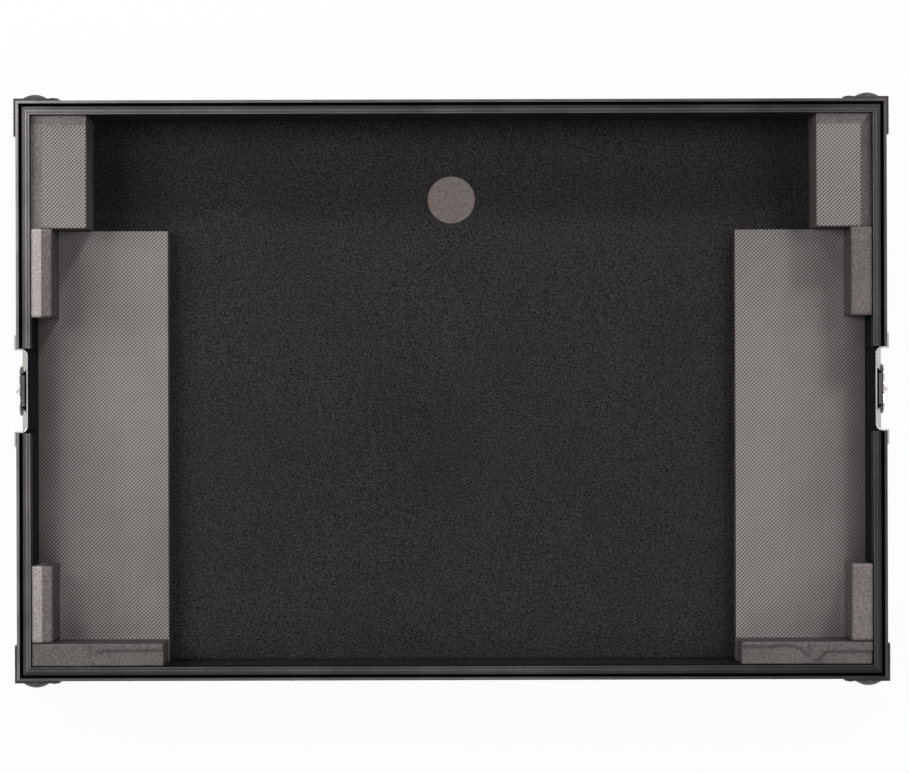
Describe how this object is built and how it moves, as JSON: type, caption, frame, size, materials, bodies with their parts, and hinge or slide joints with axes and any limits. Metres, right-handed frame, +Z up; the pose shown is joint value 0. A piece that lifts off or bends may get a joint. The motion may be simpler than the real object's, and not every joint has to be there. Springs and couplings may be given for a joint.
{
  "type": "dj controller flight case base",
  "caption": "Open base half of a flight case with foam rests, a felt lining, a cable hole and a recessed twist latch in each end wall.",
  "frame": {"origin": "middle of the surface that the rubber feet stand on", "axes": "+X to the right along the case, +Y to the rear where the cable hole is, +Z up out of the open top"},
  "size_m": [0.806, 0.546, 0.1085],
  "materials": {
    "laminated_board": "black laminated plywood, fine pebbled texture",
    "felt": "black needle felt",
    "black_extrusion": "black anodised, satin",
    "black_angle": "black anodised, satin",
    "black_steel": "black powder coat, semi-gloss",
    "rivet_steel": "black zinc, satin",
    "foot_rubber": "matt moulded",
    "zinc_steel": "zinc plated",
    "textured_foam": null,
    "smooth_foam": null,
    "latch_chrome": "bright pressed steel",
    "latch_black": "black paint, semi-gloss",
    "hook_steel": "dull zinc"
  },
  "bodies": {
    "case": {"ball_corner_front_left": "black_steel", "ball_corner_front_right": "black_steel", "ball_corner_rear_left": "black_steel", "ball_corner_rear_right": "black_steel", "case_rivets": "rivet_steel", "corner_angle_front_left": "black_angle", "corner_angle_front_right": "black_angle", "corner_angle_rear_left": "black_angle", "corner_angle_rear_right": "black_angle", "floor_felt": "felt", "floor_panel": "laminated_board", "foot_screws": "zinc_steel", "foot_washers": "zinc_steel", "front_bottom_angle": "black_angle", "front_felt": "felt", "front_panel": "laminated_board", "front_rim": "black_extrusion", "latch_rivets": "rivet_steel", "left_bottom_angle": "black_angle", "left_corner_block": "textured_foam", "left_corner_liner": "smooth_foam", "left_felt": "felt", "left_front_block": "smooth_foam", "left_latch_channel": "latch_black", "left_latch_dish": "latch_chrome", "left_pad": "textured_foam", "left_panel": "laminated_board", "left_rim_front": "black_extrusion", "left_rim_rear": "black_extrusion", "left_side_block_front": "smooth_foam", "left_side_block_rear": "smooth_foam", "rear_bottom_angle": "black_angle", "rear_felt": "felt", "rear_panel": "laminated_board", "rear_rim": "black_extrusion", "right_bottom_angle": "black_angle", "right_corner_block": "textured_foam", "right_corner_liner": "smooth_foam", "right_felt": "felt", "right_front_block": "smooth_foam", "right_latch_channel": "latch_black", "right_latch_dish": "latch_chrome", "right_pad": "textured_foam", "right_panel": "laminated_board", "right_rim_front": "black_extrusion", "right_rim_rear": "black_extrusion", "right_side_block_front": "smooth_foam", "right_side_block_rear": "smooth_foam", "rim_braces": "black_steel", "rubber_feet": "foot_rubber"},
    "left_latch_turn": {"left_latch_hub": "hook_steel", "left_latch_pin": "hook_steel"},
    "left_hook": {"left_latch_hook": "hook_steel"},
    "left_wing_front": {"left_latch_wing_front": "latch_black"},
    "left_wing_rear": {"left_latch_wing_rear": "latch_black"},
    "right_latch_turn": {"right_latch_hub": "hook_steel", "right_latch_pin": "hook_steel"},
    "right_hook": {"right_latch_hook": "hook_steel"},
    "right_wing_front": {"right_latch_wing_front": "latch_black"},
    "right_wing_rear": {"right_latch_wing_rear": "latch_black"}
  },
  "joints": [
    {"name": "left_latch_turning", "type": "hinge", "parent": "case", "child": "left_latch_turn", "pos_m": [-0.39, 0, 0.079], "axis": [-1, 0, 0], "range_deg": [0, 180]},
    {"name": "left_hook_rise", "type": "slide", "parent": "case", "child": "left_hook", "axis": [0, 0, 1], "range_m": [0, 0.009]},
    {"name": "left_wing_front_fold", "type": "hinge", "parent": "left_latch_turn", "child": "left_wing_front", "pos_m": [-0.3902, 0, 0.079], "axis": [0, 0, -1], "range_deg": [0, 90]},
    {"name": "left_wing_rear_fold", "type": "hinge", "parent": "left_latch_turn", "child": "left_wing_rear", "pos_m": [-0.3902, 0, 0.079], "axis": [0, 0, 1], "range_deg": [0, 90]},
    {"name": "right_latch_turning", "type": "hinge", "parent": "case", "child": "right_latch_turn", "pos_m": [0.39, 0, 0.079], "axis": [1, 0, 0], "range_deg": [0, 180]},
    {"name": "right_hook_rise", "type": "slide", "parent": "case", "child": "right_hook", "axis": [0, 0, 1], "range_m": [0, 0.009]},
    {"name": "right_wing_front_fold", "type": "hinge", "parent": "right_latch_turn", "child": "right_wing_front", "pos_m": [0.3902, 0, 0.079], "axis": [0, 0, 1], "range_deg": [0, 90]},
    {"name": "right_wing_rear_fold", "type": "hinge", "parent": "right_latch_turn", "child": "right_wing_rear", "pos_m": [0.3902, 0, 0.079], "axis": [0, 0, -1], "range_deg": [0, 90]}
  ],
  "couplings": [
    {"joint": "left_hook_rise", "follows": "left_latch_turning", "m_per_rad": 0.002864},
    {"joint": "right_hook_rise", "follows": "right_latch_turning", "m_per_rad": 0.002864}
  ]
}
